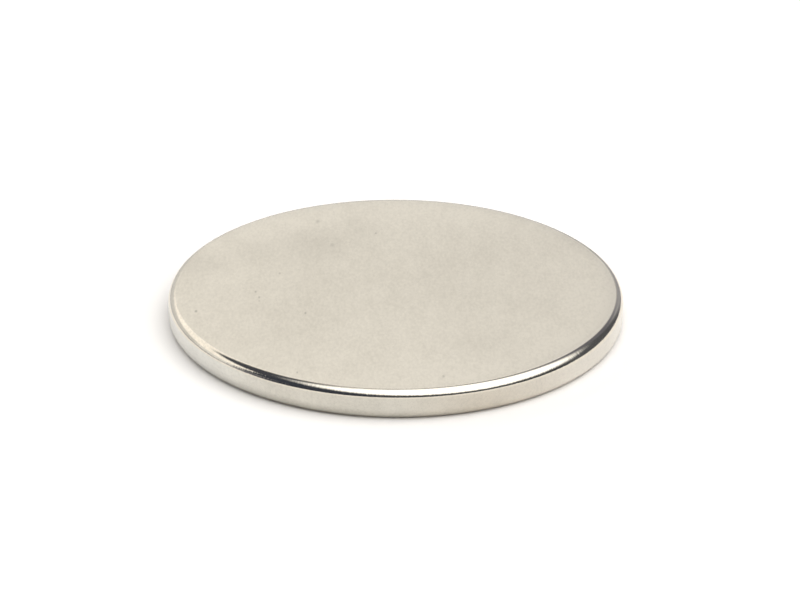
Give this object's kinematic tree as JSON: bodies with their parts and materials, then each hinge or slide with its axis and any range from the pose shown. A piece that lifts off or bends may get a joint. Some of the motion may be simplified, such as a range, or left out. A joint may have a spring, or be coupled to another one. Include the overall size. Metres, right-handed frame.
{
  "type": "disc magnet",
  "caption": "Thin flat round magnet with rounded edges and a satin nickel skin, for holding paper, lids or light tools to steel or for seating in a drilled pocket.",
  "frame": {"origin": "centre of the bottom face", "axes": "+Z along the disc's axis, out of the top face; X and Y lie in the bottom face"},
  "size_m": [0.015, 0.015, 0.001],
  "materials": {
    "nickel_plating": "satin"
  },
  "bodies": {
    "root": {"disc_magnet": "nickel_plating"}
  },
  "joints": []
}
